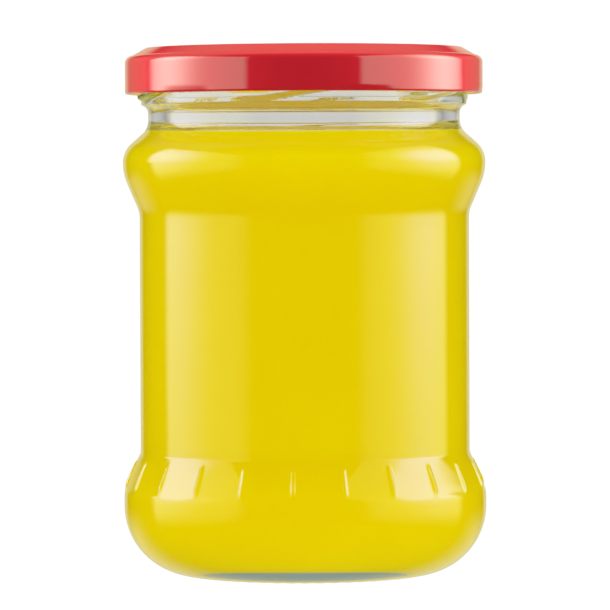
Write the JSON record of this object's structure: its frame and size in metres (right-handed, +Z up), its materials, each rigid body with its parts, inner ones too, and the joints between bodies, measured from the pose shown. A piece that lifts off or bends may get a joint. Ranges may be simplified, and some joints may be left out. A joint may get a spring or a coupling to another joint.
{
  "type": "filled glass jar",
  "caption": "Round glass jar with bulged shoulder and heel, ribbed foot and red twist-off lid, filled up to the neck with smooth yellow puree.",
  "frame": {"origin": "middle of the ring that the jar stands on", "axes": "+Z up along the jar's axis, the pictured side faces -Y"},
  "size_m": [0.0866, 0.0866, 0.126],
  "materials": {
    "glass": "clear flint soda-lime glass, fire-polished, faint green-grey where thick",
    "puree": "smooth opaque yellow puree, wet against the glass",
    "lacquered_lid": "glossy red lacquer on tinplate"
  },
  "bodies": {
    "root": {"glass_jar": "glass", "contents": "puree", "lid": "lacquered_lid"}
  },
  "joints": []
}
